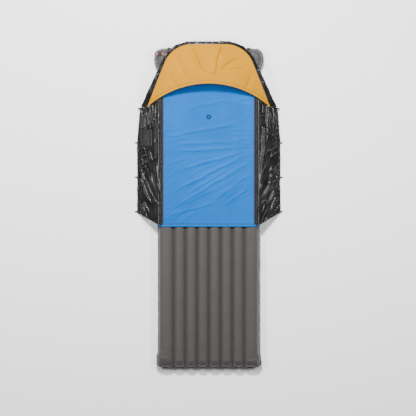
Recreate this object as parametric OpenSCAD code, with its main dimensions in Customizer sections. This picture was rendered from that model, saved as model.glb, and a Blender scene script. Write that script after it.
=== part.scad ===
// Hooded half-length bed sheet with two side wings, fitted over an inflated
// camping mattress. Millimetres. The origin is the middle of the mattress's
// underside, +Y points to the head end and +Z up.

/* [Mattress] */
// Length of the inflated mattress, over its welded edge
mattress_len = 1830; // [1600:10:2200]
// Distance between two neighbouring grooves
tube_pitch = 67.5; // [62:0.5:72]
// Width of each outer tube, from its groove to the welded edge
outer_tube_w = 88.5; // [80:0.5:110]
// Radius of an air tube
tube_r = 39; // [37:0.5:42]
// How far the tubes are pressed flat on the ground
tube_press = 2; // [1:0.5:4]
// Thickness of the mattress fabric
skin = 0.8; // [0.6:0.1:1.5]
// Thickness of the welded edge
weld_t = 1.2; // [0.8:0.1:2]
// Width of the welded edge outside the tubes
weld_w = 4; // [3:0.5:8]
// Thickness of an inner baffle
baffle_t = 0.8; // [0.6:0.1:1.2]
// How far the head corners stand out past the sides
head_flare = 20; // [10:1:30]
// How far the foot corners stand out past the sides
foot_flare = 8; // [4:1:20]
// Length of the stretch over which a corner spreads
flare_len = 95; // [70:5:140]

/* [Valve] */
// Diameter of the valve's round base
valve_d = 26; // [20:1:32]
// Height of the valve above the mattress fabric
valve_h = 6; // [4:0.5:10]
// Width of the pull tab
tab_w = 9; // [6:0.5:12]
// Length of the pull tab past each side of the valve
tab_reach = 10; // [6:0.5:14]

/* [Sheet] */
// Thickness of the sheet's fabric
cloth = 1.6; // [1:0.2:3]
// Length of the sheet from the mattress's head end to its foot edge
sheet_len = 1022; // [975:1:1115]
// Half width of the blue panel between its seams
panel_half = 260; // [220:1:270]
// Width of the seam tape along the panel
tape_w = 10; // [6:1:14]
// Thickness of the seam tape
tape_t = 0.8; // [0.5:0.1:1.2]
// Width of the foot hem
hem_w = 14; // [8:1:25]
// Width of an elastic strap under the mattress
strap_w = 30; // [20:1:50]
// Thickness of an elastic strap
strap_t = 1.6; // [1:0.1:2.5]
// Diameter of the sheet's round emblem
emblem_d = 26; // [16:1:50]

/* [Hood] */
// Radius of the hood's dome
dome_r = 655; // [645:5:720]
// Height of the dome's top above the sheet
dome_h = 83; // [80:1:110]
// Distance from the mattress's head end back to the dome's top
dome_back = 226; // [205:1:240]
// Radius of the brim's arch, seen from above
brim_r = 535; // [480:5:650]
// Distance from the mattress's head end to the top of the brim's arch
brim_back = 203; // [180:1:260]
// How far the yellow panel reaches past the mattress's head end
hood_over = 26; // [15:1:40]
// Radius of the hood's two head corners
hood_corner_r = 170; // [120:5:190]
// Half width of the yellow panel at its tips
hood_tip = 352; // [335:1:370]
// Width of the black wall outside the yellow panel, at the head
wall_w = 14; // [8:1:24]
// Width of the black wall at the hood's tips
wall_tip = 38; // [30:1:60]
// Thickness of the hood's outer fabric and of its lining
hood_skin = 0.8; // [0.6:0.1:1.5]
// Thickness of the hood's filling
hood_fill_t = 2.6; // [2:0.2:5]
// Width of the binding along the brim
brim_w = 7; // [5:0.5:12]
// Thickness of the drawcord inside the brim
brim_cord = 2; // [1.5:0.1:2.5]

/* [Wings] */
// Distance from the middle of the mattress to a wing's outer edge
wing_out = 408; // [385:1:440]
// Width of a wing's flat stretch on top of the mattress
wing_flat = 15; // [8:1:25]
// Thickness of a wing
wing_t = 3; // [2:0.2:5]
// How much further up the outer corner of a wing's foot edge is than its inner one
wing_rise = 77; // [40:1:120]
// How much narrower a wing is at its head corner
wing_taper = 18; // [0:1:30]
// Width of a wing's sewn edge
wing_hem = 9; // [6:1:14]
// Largest lift of a wing's outer edge above the ground
wing_ground = 1; // [0.5:0.5:4]

/* [Hooks] */
// Number of hooks on each wing
hook_n = 4; // [2:1:6]
// Distance between two hooks
hook_pitch = 197; // [110:1:197]
// Length of a hook past its loop
hook_len = 11; // [8:0.5:16]
// Width of a hook
hook_w = 6; // [5:0.5:9]
// Radius of the loop's bar in a hook's eye
bar_r = 1; // [0.8:0.1:1.3]

/* [Pocket and cord] */
// Length of the pocket's zip
zip_len = 223; // [150:1:260]
// Width of the zip's tape
zip_w = 12; // [10:1:16]
// Width of the pocket's patch, down the slope of the wing
pocket_w = 78; // [50:1:84]
// Height of the pocket's patch
pocket_h = 91; // [60:1:140]
// Diameter of the cord lock
lock_d = 13; // [11:0.5:16]
// Diameter of the draw cord
cord_d = 2.4; // [2:0.1:3]

/* [Hidden] */

$fn = 72;
// Clearance between pieces that only rest on each other, and between bodies
gap = 0.3;
body_gap = 3;
// A cut is drawn this much past the faces it goes through
past = 1;

// Mattress
half_len = mattress_len / 2;
half_w = 3 * tube_pitch + outer_tube_w;
tube_z = tube_r - tube_press;
top_z = tube_z + tube_r;
inner_tubes = 6;
outer_in = 3.5 * tube_pitch;
outer_out = half_w - weld_w - tube_r;
tube_end = half_len - weld_w - tube_r;
corner_r = tube_r - 1;
// The welded edge reaches this far inside the ends of the tubes
weld_in = 20;

// Valve: the base is sunk into the corner, the pull tab lies under the plug's disc
valve_off = 12;
valve_at = [-(outer_out + head_flare + valve_off), tube_end + valve_off];
valve_z = tube_z + corner_r - 2;
valve_sink = 10;
valve_lip = 4;
plug_gap = 1;
pull_tab_t = 1.2;
pull_tab_z = valve_z + valve_h / 2 + gap;
plug_z = pull_tab_z + pull_tab_t + gap;
stem_d = valve_d - 2 * valve_lip - 2 * plug_gap;

// Sheet: its foot edge lies this far past the middle of the mattress
sheet_foot = sheet_len - half_len;
sheet_z = top_z + gap;
sheet_top = sheet_z + cloth;
wrap_in = tube_r + weld_w + 2 * gap;
wrap_z = sheet_z - wrap_in;
// The cloth's round side starts with a step at the seam, sunk into its curve
seam_step = 4;
seam_sink = 0.15;
seam_low = wrap_z + sqrt(pow(wrap_in + cloth, 2) - pow(panel_half + seam_step / 2 - outer_out, 2)) - seam_sink;
wrap_top = 55;
elastic_t = 0.8;
elastic_in = 3;
wrap_low = 9;
panel_head = tube_end - tube_r;
tape_in = panel_half;
tape_out = panel_half + tape_w;
strap_ends = outer_out - tube_r / 2;
strap_gap = 0.2;
strap_side = 1;
// The straps lie at fixed distances from the sheet's foot edge; the first one's underside is the face at the origin
strap_first = 107;
strap_pitch = 400;
strap_rows = [strap_first - sheet_foot, strap_first + strap_pitch - sheet_foot];
strap_notch = strap_t + strap_gap;

// Hood: the dome is part of one sphere
dome_y = half_len - dome_back;
dome_z = sheet_top + dome_h - dome_r;
brim_y = half_len - brim_back - brim_r;
emblem_y = brim_y + brim_r - 190;
emblem_hole = 0.6;
hood_head = half_len + hood_over;
tip_y = brim_y + sqrt(pow(brim_r, 2) - pow(hood_tip, 2));
hood_round_x = 98;
hood_round_y = hood_head - hood_corner_r;
side_angle = 20.7;
hood_corner_steps = 10;

fill_r = dome_r - hood_skin;
lining_r = fill_r - hood_fill_t;
dome_in = lining_r - hood_skin;
cord_in = (dome_r - dome_in - brim_cord) / 2;
cord_side = (brim_w - brim_cord) / 2;

// Wings
wing_in = tape_out + 1;
wing_z = sheet_top + tape_t + gap;
wing_top_y = tip_y - body_gap;
slope_x = wing_in + wing_flat;
slope_angle = atan((wing_z - wing_ground) / (wing_out - slope_x));
slope_len = (wing_out - slope_x) / cos(slope_angle);
foot_in_y = -sheet_foot + 5;
foot_out_y = foot_in_y + wing_rise;
patch_t = 0.8;
// A wing gets narrower along this length, up to its head corner
taper_len = 196.9;
taper_y = wing_top_y - taper_len;
taper_slope = wing_taper / (wing_top_y - taper_y);

// Hooks
hook_off = 1.5;
hook_top_y = wing_top_y + 1;
eye_in = bar_r + 0.6;
eye_out = eye_in + 1.8;
hook_z = eye_out + 0.4;
hook_x = wing_out + eye_out + hook_off;
loop_t = 1.2;
loop_leg = hook_w / 2 + 0.5;
loop_in = 12;

// Pocket on the left wing, measured down the slope and down from the wing's head corner
zip_s = 20;
zip_drop = 65.9;
zip_top_y = wing_top_y - zip_drop;
slider_down = 128;
slider_y = zip_top_y - slider_down;
slider_l = 9;
slider_w = 8;
slider_t = 3;
puller_l = 16;
puller_w = 4;
puller_t = 1.2;
pin_r = 0.8;
pin_gap = 0.15;
pin_z = 1.2;
lug_t = 1.2;
lug_l = 4;
stop_l = 3;
stop_w = 6;
stop_h = 1.5;
pocket_edge = 18.8;
pocket_s = slope_len - pocket_edge - pocket_w;
pocket_drop = 128.9;
pocket_top_y = wing_top_y - pocket_drop;

// Cord lock on the right wing, measured down the slope and down from the wing's head corner
tab_drop = 44.9;
tab_y = wing_top_y - tab_drop;
tab_s = 2;
tab_len = 36;
tab_h = 6;
tab_t = 2;
lock_s = 9;
lock_down = 15;
lock_y = tab_y - lock_down;
lock_h = 7;
lock_lift = 0.4;
button_travel = 2.5;
button_d = 5.5;
button_t = 1;
stem_hole_d = 4;
stem_hole = 3;
press_d = 3.4;
press_in = 1.2;
cord_len = 62;
cord_z = lock_lift + lock_h / 2;

black = [0.10, 0.10, 0.11];
charcoal = [0.36, 0.34, 0.33];
azure = [0.02, 0.62, 0.92];
yellow = [0.99, 0.74, 0.05];
khaki = [0.42, 0.38, 0.22];
coral = [0.86, 0.25, 0.20];

// ---- Shared shapes ----

// Section of the air tubes across the bed, with a radius grown by the given amount
module tube_section(grow) {
    r = tube_r + grow;
    for (side = [-1, 1]) {
        for (i = [0 : inner_tubes / 2 - 1]) translate([side * (i + 0.5) * tube_pitch, tube_z]) circle(r);
        translate([side * outer_in, tube_z]) circle(r);
        translate([side * outer_out, tube_z]) circle(r);
        translate([side * (outer_in + outer_out) / 2, tube_z])
            square([outer_out - outer_in, 2 * r], center = true);
    }
}

// Side view of the tubes, whose ends are rounded with a few flats
module tube_side_view(grow) {
    r = tube_r + grow;
    polygon([for (end = [0, 180], a = [-90 : 45 : 90])
        [(end == 0 ? tube_end : -tube_end) + r * cos(a + end), tube_z + r * sin(a + end)]]);
}

// All air tubes, with the corners that spread outwards
module air_tubes(grow) {
    intersection() {
        union() {
            translate([0, half_len, 0]) rotate([90, 0, 0]) linear_extrude(mattress_len) tube_section(grow);
            for (side = [0, 1], end = [0, 1]) mirror([side, 0, 0]) mirror([0, end, 0]) {
                angle = atan((end == 0 ? head_flare : foot_flare) / flare_len);
                translate([outer_out, tube_end - flare_len, tube_z]) rotate([-90, 0, -angle])
                    cylinder(r = corner_r + grow, h = 2 * flare_len);
            }
        }
        translate([-half_len, 0, 0]) rotate([90, 0, 90])
            linear_extrude(mattress_len) tube_side_view(grow);
        linear_extrude(2 * top_z) mattress_outline(weld_w + grow);
    }
}

// A round-ended bar along the bed, as a flat outline
module stadium(x, y0, y1, r) {
    translate([x, y0]) circle(r);
    translate([x, y1]) circle(r);
    translate([x - r, y0]) square([2 * r, y1 - y0]);
}

// The mattress seen from above, with its rounded corners that spread outwards
module mattress_outline(grow) {
    square([2 * outer_out, 2 * (tube_end + tube_r + grow)], center = true);
    for (side = [0, 1]) mirror([side, 0]) {
        stadium(outer_out, -tube_end, tube_end, tube_r + grow);
        for (end = [0, 1]) mirror([0, end]) {
            angle = atan((end == 0 ? head_flare : foot_flare) / flare_len);
            translate([outer_out, tube_end - flare_len]) rotate(-angle)
                stadium(0, 0, flare_len / cos(angle), corner_r + grow);
        }
    }
}

// Everything between two heights
module layer(z0, z1) {
    translate([-mattress_len, -mattress_len, z0]) cube([2 * mattress_len, 2 * mattress_len, z1 - z0]);
}

// Bands across the underside where the straps pass
module strap_bands(height, spread) {
    for (y = strap_rows)
        translate([-half_w, y - strap_w / 2 - spread, -past]) cube([2 * half_w, strap_w + 2 * spread, height + past]);
}

// ---- Mattress ----

module mattress_top_skin() {
    color(charcoal) difference() {
        intersection() {
            air_tubes(0);
            layer(tube_z + weld_t / 2, top_z + past);
        }
        air_tubes(-skin);
        valve_hole();
    }
}

module mattress_bottom_skin() {
    color(charcoal * 0.9) difference() {
        intersection() {
            air_tubes(0);
            layer(0, tube_z - weld_t / 2);
        }
        strap_bands(strap_notch, strap_side);
        intersection() {
            air_tubes(-skin);
            difference() {
                layer(skin, tube_z);
                strap_bands(strap_notch + skin, strap_side + skin);
            }
        }
    }
}

module mattress_baffles() {
    baffle_h = 2 * sqrt(pow(tube_r - skin, 2) - pow(tube_pitch / 2, 2));
    color([0.5, 0.5, 0.5])
        for (i = [-3 : 3])
            translate([i * tube_pitch - baffle_t / 2, -tube_end, tube_z - baffle_h / 2])
                cube([baffle_t, 2 * tube_end, baffle_h]);
}

module mattress_weld() {
    color(charcoal * 0.8) translate([0, 0, tube_z - weld_t / 2]) difference() {
        linear_extrude(weld_t) mattress_outline(weld_w);
        translate([0, 0, -past]) linear_extrude(weld_t + 2 * past)
            square([2 * (outer_out + tube_r - weld_in), 2 * (tube_end + tube_r - weld_in)], center = true);
    }
}

// ---- Valve, on the left head corner ----

module valve_hole() {
    translate([valve_at[0], valve_at[1], tube_z])
        cylinder(d = valve_d + 2 * gap, h = 2 * tube_r);
}

module valve_base() {
    color(black) translate([valve_at[0], valve_at[1], valve_z - valve_sink]) difference() {
        cylinder(d = valve_d, h = valve_sink + valve_h / 2);
        translate([0, 0, -past]) cylinder(d = valve_d - 2 * valve_lip, h = valve_sink + valve_h);
    }
}

module valve_plug() {
    color(black) translate([valve_at[0], valve_at[1], plug_z]) {
        cylinder(d = valve_d - 2, h = valve_h / 2);
        translate([0, 0, -valve_h]) cylinder(d = stem_d, h = valve_h + past);
    }
}

module valve_pull_tab() {
    reach = valve_d / 2 + tab_reach;
    color(coral) translate([valve_at[0], valve_at[1], pull_tab_z]) linear_extrude(pull_tab_t) difference() {
        union() {
            circle(d = valve_d - valve_lip);
            square([2 * reach - tab_w, tab_w], center = true);
            for (side = [-1, 1]) translate([side * (reach - tab_w / 2), 0]) circle(d = tab_w);
        }
        circle(d = stem_d + 2 * gap);
    }
}

// ---- Sheet ----

// Section across the bed of the cloth that wraps round one side
module side_section() {
    intersection() {
        difference() {
            translate([outer_out, wrap_z]) circle(wrap_in + cloth);
            translate([outer_out, wrap_z]) circle(wrap_in);
        }
        translate([panel_half, 0]) square([half_w, sheet_top]);
    }
    translate([panel_half, seam_low]) square([seam_step, sheet_top - seam_low]);
}

module sheet_side(side) {
    color(azure * 0.8) mirror([side < 0 ? 1 : 0, 0, 0])
        translate([0, tip_y, 0]) rotate([90, 0, 0])
            linear_extrude(tip_y + sheet_foot - hem_w - gap) side_section();
}

module sheet_panel() {
    color(azure) difference() {
        translate([-panel_half, -sheet_foot + hem_w + gap, sheet_z])
            cube([2 * panel_half, panel_head + sheet_foot - hem_w - gap, cloth]);
        translate([0, 0, -past]) emblem_cut(cloth);
    }
}

module emblem_cut(height) {
    translate([0, emblem_y, sheet_top - height / 2]) cylinder(d = emblem_d + gap, h = height + past);
}

module sheet_emblem() {
    color(black) translate([0, emblem_y, sheet_top - cloth / 2 - past + 2 * gap]) difference() {
        cylinder(d = emblem_d, h = cloth / 2 + past);
        translate([0, 0, -past]) cylinder(d = emblem_d * emblem_hole, h = cloth + 3 * past);
    }
}

// The foot edge of the sheet: a hem that wraps the whole mattress, open underneath
module foot_band(grow, thick, width) {
    translate([0, -sheet_foot + width, 0]) rotate([90, 0, 0]) linear_extrude(width) intersection() {
        difference() {
            foot_loop(wrap_in + grow + thick);
            foot_loop(wrap_in + grow);
        }
        translate([-2 * half_w, 0]) square([4 * half_w, 4 * tube_r]);
    }
}

module foot_loop(r) {
    for (side = [-1, 1]) translate([side * outer_out, wrap_z]) circle(r);
    translate([-outer_out, wrap_z - r]) square([2 * outer_out, 2 * r]);
}

module sheet_foot_hem() {
    color(azure * 0.9) foot_band(0, cloth, hem_w);
}

module foot_elastic() {
    color(black) translate([0, elastic_in, 0]) foot_band(cloth, elastic_t, hem_w - 2 * elastic_in);
}

module sheet_head_wrap() {
    color(black) translate([0, 0, wrap_low]) linear_extrude(wrap_top - wrap_low) intersection() {
        difference() {
            mattress_outline(weld_w + gap + cloth);
            mattress_outline(weld_w + gap);
        }
        translate([-outer_in, 0]) square([2 * outer_in, mattress_len]);
    }
}

module seam_tape(side) {
    color(khaki * 0.7) mirror([side < 0 ? 1 : 0, 0, 0])
        translate([tape_in, foot_in_y + hem_w, sheet_top]) cube([tape_w, tip_y - foot_in_y - hem_w, tape_t]);
}

module under_strap(i) {
    color(black) translate([-strap_ends, strap_rows[i] - strap_w / 2, 0])
        cube([2 * strap_ends, strap_w, strap_t]);
}

// ---- Hood ----

// Outline of the hood from above, grown outwards at the head and at the tips
module hood_outline(grow, tip_grow) {
    r = hood_corner_r + grow;
    corner = [for (i = [0 : hood_corner_steps])
        let (a = side_angle + (90 - side_angle) * i / hood_corner_steps)
            [hood_round_x + r * cos(a), hood_round_y + r * sin(a)]];
    polygon(concat([[-hood_tip - tip_grow, tip_y], [hood_tip + tip_grow, tip_y]], corner,
        [for (i = [hood_corner_steps : -1 : 0]) [-corner[i][0], corner[i][1]]]));
}

// What lies behind the brim's arch
module behind_arch(inset) {
    difference() {
        translate([-2 * hood_tip, tip_y - past]) square([4 * hood_tip, half_len]);
        translate([0, brim_y]) circle(brim_r + inset, $fn = 360);
    }
}

// One shell of the dome, from a radius inwards
module dome_shell(outer, inner) {
    translate([0, dome_y, dome_z]) rotate([90, 0, 0]) difference() {
        sphere(outer, $fn = 180);
        sphere(inner, $fn = 180);
    }
}

module hood_part(outer, inner) {
    intersection() {
        dome_shell(outer, inner);
        linear_extrude(2 * dome_h + top_z) intersection() {
            hood_outline(0, 0);
            behind_arch(brim_w + gap);
        }
    }
}

module hood_outer() {
    color(yellow) hood_part(dome_r, fill_r);
}

module hood_fill() {
    color("white") hood_part(fill_r, lining_r);
}

module hood_lining() {
    color(yellow * 0.8) hood_part(lining_r, dome_in);
}

module hood_wall() {
    color(black) intersection() {
        dome_shell(dome_r, dome_in);
        linear_extrude(2 * dome_h + top_z) intersection() {
            difference() {
                hood_outline(wall_w, wall_tip);
                hood_outline(gap, gap);
            }
            behind_arch(0);
        }
    }
}

module brim_ring(outer, inner, inset, width) {
    intersection() {
        dome_shell(outer, inner);
        linear_extrude(2 * dome_h + top_z) intersection() {
            hood_outline(0, 0);
            difference() {
                behind_arch(inset);
                behind_arch(inset + width);
            }
        }
    }
}

module brim_binding() {
    color(black) brim_ring(dome_r, dome_in, gap / 2, brim_w - gap / 2);
}

module brim_cord_ring() {
    color("gray") brim_ring(dome_r - cord_in, dome_in + cord_in, cord_side, brim_cord);
}

// ---- Wings ----

// Section of a wing across the bed: flat on the mattress, then down past its outer edge
module wing_section() {
    far = wing_out + wing_t;
    far_z = wing_ground - wing_t * tan(slope_angle);
    polygon([
        [wing_in, wing_z], [slope_x, wing_z], [far, far_z],
        [far + wing_t * sin(slope_angle), far_z + wing_t * cos(slope_angle)],
        [slope_x + wing_t * tan(slope_angle / 2), wing_z + wing_t], [wing_in, wing_z + wing_t]
    ]);
}

// Everything inside a wing's outer edge, moved in by the given amount
module inside_edge(cut) {
    translate([-cut, 0]) polygon([
        [0, -half_len], [wing_out, -half_len], [wing_out, taper_y],
        [wing_out - taper_slope * (half_len - taper_y), half_len], [0, half_len]
    ]);
}

// Everything towards the head from a wing's foot edge, moved in by the given amount
module above_foot(cut) {
    foot_slope = wing_rise / (wing_out - wing_in);
    polygon([
        [0, foot_in_y + cut - foot_slope * wing_in], [2 * wing_out, foot_in_y + cut
            + foot_slope * (2 * wing_out - wing_in)], [2 * wing_out, half_len], [0, half_len]
    ]);
}

// Everything towards the foot from a wing's head edge: along the brim's arch, then straight
module below_head() {
    difference() {
        union() {
            translate([0, brim_y]) circle(brim_r - body_gap, $fn = 360);
            translate([hood_tip - past, -half_len]) square([hood_tip, half_len + wing_top_y]);
        }
        translate([hood_tip - past, wing_top_y]) square([hood_tip, half_len]);
        translate([-half_len + wing_in, -half_len]) square([half_len, 2 * half_len]);
    }
}

// The part of the wing's fabric that lies over a flat outline
module wing_slab() {
    intersection() {
        translate([0, half_len, 0]) rotate([90, 0, 0]) linear_extrude(2 * half_len) wing_section();
        linear_extrude(2 * top_z) children();
    }
}

module wing_panel(side) {
    color(black) mirror([side < 0 ? 1 : 0, 0, 0]) wing_slab() intersection() {
        inside_edge(wing_hem);
        above_foot(wing_hem);
        below_head();
    }
}

module wing_edge(side) {
    color(black * 1.6) mirror([side < 0 ? 1 : 0, 0, 0]) wing_slab() difference() {
        intersection() {
            inside_edge(0);
            above_foot(wing_hem);
            below_head();
        }
        inside_edge(wing_hem);
    }
}

module wing_foot_hem(side) {
    color(black * 1.3) mirror([side < 0 ? 1 : 0, 0, 0]) wing_slab() difference() {
        intersection() {
            inside_edge(0);
            above_foot(0);
            below_head();
        }
        above_foot(wing_hem);
    }
}

// Moves a piece onto the slope of a wing: X down the slope, Z away from it
module on_slope(side) {
    mirror([side < 0 ? 1 : 0, 0, 0])
        translate([slope_x, 0, wing_z]) rotate([0, slope_angle, 0]) translate([0, 0, wing_t]) children();
}

// ---- Loops and hooks ----

function hook_y(i) = hook_top_y - hook_w - i * hook_pitch;

// How far a hook is moved in by the wing's taper
function hook_in(i) = taper_slope * max(0, hook_y(i) - taper_y);

function hook_at(i) = [hook_x - hook_in(i), hook_y(i), hook_z + hook_in(i) * tan(slope_angle)];

module loops(side) {
    color(khaki) for (i = [0 : hook_n - 1]) mirror([side < 0 ? 1 : 0, 0, 0])
        translate(hook_at(i)) {
            rotate([90, 0, 0]) cylinder(r = bar_r, h = 2 * loop_leg + 2 * loop_t, center = true);
            for (end = [-1, 1])
                translate([0, end * (loop_leg + loop_t / 2), 0]) rotate([0, slope_angle, 0])
                    translate([-loop_in, -loop_t / 2, -bar_r]) cube([loop_in, loop_t, 2 * bar_r]);
        }
}

module hook(side, i) {
    color(black) mirror([side < 0 ? 1 : 0, 0, 0]) translate(hook_at(i) + [0, hook_w / 2, 0])
        rotate([90, 0, 0]) linear_extrude(hook_w) difference() {
            union() {
                circle(eye_out);
                translate([0, -eye_out]) square([hook_len - eye_out, 2 * eye_out]);
                translate([hook_len - eye_out, 0]) circle(eye_out);
            }
            circle(eye_in);
            translate([hook_len - eye_out, 0]) circle(eye_in * 0.8);
            translate([eye_out + 1, 0]) square([hook_len - 2 * eye_out - 1, 2 * eye_out]);
            translate([hook_len - eye_out - eye_in * 0.8, 0]) square([eye_in * 0.8, 2 * eye_out]);
        }
}

// ---- Pocket and zip on the left wing ----

module pocket_patch() {
    color(black * 0.8) on_slope(-1)
        translate([pocket_s, pocket_top_y - pocket_h, 0]) cube([pocket_w, pocket_h, patch_t]);
}

module zip_tape() {
    color(black * 0.6) on_slope(-1)
        translate([zip_s - zip_w / 2, zip_top_y - zip_len, 0]) cube([zip_w, zip_len, patch_t]);
}

module zip_stops() {
    color("silver") on_slope(-1) for (y = [zip_top_y - stop_l, zip_top_y - zip_len + stop_l])
        translate([zip_s - stop_w / 2, y - stop_l / 2, patch_t]) cube([stop_w, stop_l, stop_h]);
}

module zip_slider() {
    color("silver") on_slope(-1) translate([zip_s, slider_y, patch_t + gap]) difference() {
        union() {
            translate([-slider_w / 2, -slider_l / 2, 0]) cube([slider_w, slider_l, slider_t]);
            for (side = [0, 1]) mirror([side, 0, 0])
                translate([puller_w / 2 + lug_t / 3, -lug_l / 2, slider_t]) cube([lug_t, lug_l, 2 * pin_z]);
        }
        translate([-slider_w, 0, slider_t + pin_z]) rotate([0, 90, 0]) cylinder(r = pin_r, h = 2 * slider_w);
    }
}

module zip_puller() {
    color("silver") on_slope(-1) translate([zip_s, slider_y, patch_t + gap + slider_t + pin_z]) {
        rotate([0, 90, 0]) cylinder(r = pin_r - pin_gap, h = puller_w + 2.5 * lug_t, center = true);
        translate([-puller_w / 2 + pin_gap, 0, -puller_t / 2]) cube([puller_w - 2 * pin_gap, puller_l, puller_t]);
    }
}

// ---- Cord lock on the right wing ----

module cord_tab() {
    color(black * 0.7) on_slope(1) difference() {
        translate([tab_s, tab_y - tab_h / 2, 0]) cube([tab_len, tab_h, tab_t + cord_z]);
        translate([lock_s, tab_y, cord_z]) rotate([90, 0, 0])
            cylinder(d = cord_d + 2 * gap, h = 2 * tab_h, center = true);
    }
}

module draw_cord() {
    color(khaki) on_slope(1) translate([lock_s, tab_y + tab_h / 2, cord_z])
        rotate([90, 0, 0]) cylinder(d = cord_d, h = cord_len);
}

module cord_lock() {
    color(black) on_slope(1) translate([lock_s, lock_y, lock_lift]) difference() {
        cylinder(d = lock_d, h = lock_h);
        translate([0, 0, lock_h / 2]) rotate([90, 0, 0])
            cylinder(d = cord_d + 2 * gap, h = 2 * lock_d, center = true);
        translate([-lock_d / 2 - past, 0, lock_h / 2]) rotate([0, 90, 0])
            cylinder(d = stem_hole_d, h = stem_hole + past);
    }
}

module cord_lock_button() {
    color(black) on_slope(1) translate([lock_s - lock_d / 2 - button_travel - button_t, lock_y, cord_z])
        rotate([0, 90, 0]) {
            cylinder(d = press_d, h = button_travel + press_in);
            cylinder(d = button_d, h = button_t);
        }
}

mattress_top_skin();
mattress_bottom_skin();
mattress_baffles();
mattress_weld();
valve_base();
valve_plug();
valve_pull_tab();
sheet_panel();
sheet_side(-1);  // sheet_side_left
sheet_side(1);  // sheet_side_right
sheet_head_wrap();
sheet_foot_hem();
foot_elastic();
seam_tape(-1);  // seam_tape_left
seam_tape(1);  // seam_tape_right
under_strap(0);  // under_strap_foot
under_strap(1);  // under_strap_middle
sheet_emblem();
hood_outer();
hood_fill();
hood_lining();
hood_wall();
brim_binding();
brim_cord_ring();
wing_panel(-1);  // wing_left_panel
wing_edge(-1);  // wing_left_edge
wing_foot_hem(-1);  // wing_left_foot_hem
loops(-1);  // wing_left_loops
wing_panel(1);  // wing_right_panel
wing_edge(1);  // wing_right_edge
wing_foot_hem(1);  // wing_right_foot_hem
loops(1);  // wing_right_loops
hook(-1, 0);  // hook_left_1
hook(-1, 1);  // hook_left_2
hook(-1, 2);  // hook_left_3
hook(-1, 3);  // hook_left_4
hook(1, 0);  // hook_right_1
hook(1, 1);  // hook_right_2
hook(1, 2);  // hook_right_3
hook(1, 3);  // hook_right_4
pocket_patch();
zip_tape();
zip_stops();
zip_slider();
zip_puller();
cord_tab();
draw_cord();
cord_lock();
cord_lock_button();
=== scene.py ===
import math

import bmesh
import bpy
from bpy.props import FloatProperty, FloatVectorProperty, PointerProperty
from mathutils import Matrix, Vector, noise


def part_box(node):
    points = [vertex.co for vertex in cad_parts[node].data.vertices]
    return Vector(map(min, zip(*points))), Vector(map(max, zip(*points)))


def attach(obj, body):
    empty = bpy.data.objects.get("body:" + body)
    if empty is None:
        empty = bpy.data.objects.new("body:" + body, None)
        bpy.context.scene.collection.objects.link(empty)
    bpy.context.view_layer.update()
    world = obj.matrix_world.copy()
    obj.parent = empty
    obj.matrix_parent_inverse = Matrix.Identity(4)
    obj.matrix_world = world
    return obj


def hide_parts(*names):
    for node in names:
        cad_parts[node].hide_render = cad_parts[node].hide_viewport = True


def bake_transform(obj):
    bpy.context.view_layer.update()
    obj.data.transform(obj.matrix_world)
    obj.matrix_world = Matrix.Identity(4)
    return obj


bl_info = {
    "name": "Hooded camping bed sheet",
    "version": (1, 0, 0),
    "blender": (4, 5, 0),
    "location": "View3D > Sidebar > Bed",
    "description": "Builds the soft pieces of a hooded bed sheet with side wings on an air mattress",
    "category": "Add Mesh",
}

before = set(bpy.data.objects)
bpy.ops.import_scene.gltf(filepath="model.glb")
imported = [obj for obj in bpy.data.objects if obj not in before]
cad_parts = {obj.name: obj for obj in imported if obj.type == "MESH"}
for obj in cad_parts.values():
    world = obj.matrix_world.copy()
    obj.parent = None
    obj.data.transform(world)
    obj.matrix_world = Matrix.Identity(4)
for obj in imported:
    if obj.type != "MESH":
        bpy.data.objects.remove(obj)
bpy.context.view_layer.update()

# ---- Places and sizes in metres, from the frame where it has them ----

WELD_LOW, WELD_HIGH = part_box("mattress_weld")
SKIN_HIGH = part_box("mattress_top_skin")[1]
PANEL_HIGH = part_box("sheet_panel")[1]
HEM_LOW, HEM_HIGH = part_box("sheet_foot_hem")
TAPE_LOW, TAPE_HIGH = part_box("seam_tape_right")
WING_LOW, WING_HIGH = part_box("wing_right_panel")
EDGE_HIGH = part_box("wing_right_edge")[1]
WING_HEM_LOW, WING_HEM_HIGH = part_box("wing_right_foot_hem")
HOOD_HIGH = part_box("hood_outer")[1]
WRAP_LOW, WRAP_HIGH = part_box("sheet_head_wrap")
ZIP_LOW, ZIP_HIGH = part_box("zip_tape")
PATCH_LOW, PATCH_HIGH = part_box("pocket_patch")
CORD_LOW, CORD_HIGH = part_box("draw_cord")
EMBLEM_LOW, EMBLEM_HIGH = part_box("sheet_emblem")

# Mattress
TUBE_MID_Z = (WELD_LOW.z + WELD_HIGH.z) / 2
TUBE_R = SKIN_HIGH.z - TUBE_MID_Z
HALF_LEN = WELD_HIGH.y
WELD_W = 0.004
BODY_LEN = HALF_LEN - WELD_W
BODY_HALF = 0.287
GROOVE_PITCH = 0.0675
OUTER_GROOVE = 3 * GROOVE_PITCH

# Sheet
SHEET_Z = PANEL_HIGH.z
PANEL_HALF = PANEL_HIGH.x
FOOT_Y = HEM_LOW.y
HEM_HALF = HEM_HIGH.x
WRAP_R = 0.0446
WRAP_X = HEM_HALF - WRAP_R
EMBLEM_Y = (EMBLEM_LOW.y + EMBLEM_HIGH.y) / 2
EMBLEM_R = EMBLEM_HIGH.x
WRAP_Z = SHEET_Z - WRAP_R

# Hood: the dome lies on one sphere
DOME_R = 0.655
DOME_Y = HALF_LEN - 0.226
DOME_Z = SHEET_Z + 0.083 - DOME_R
BRIM_R = 0.535
BRIM_Y = HALF_LEN - 0.203 - BRIM_R
TIP_X = 0.352
TIP_Y = BRIM_Y + math.sqrt(BRIM_R ** 2 - TIP_X ** 2)
HOOD_HEAD = HOOD_HIGH.y
CORNER_R = 0.170
CORNER_X = 0.098
CORNER_Y = HOOD_HEAD - CORNER_R
CORNER_A = math.radians(20.7)
WALL_W = 0.014
WALL_TIP = 0.038

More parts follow.
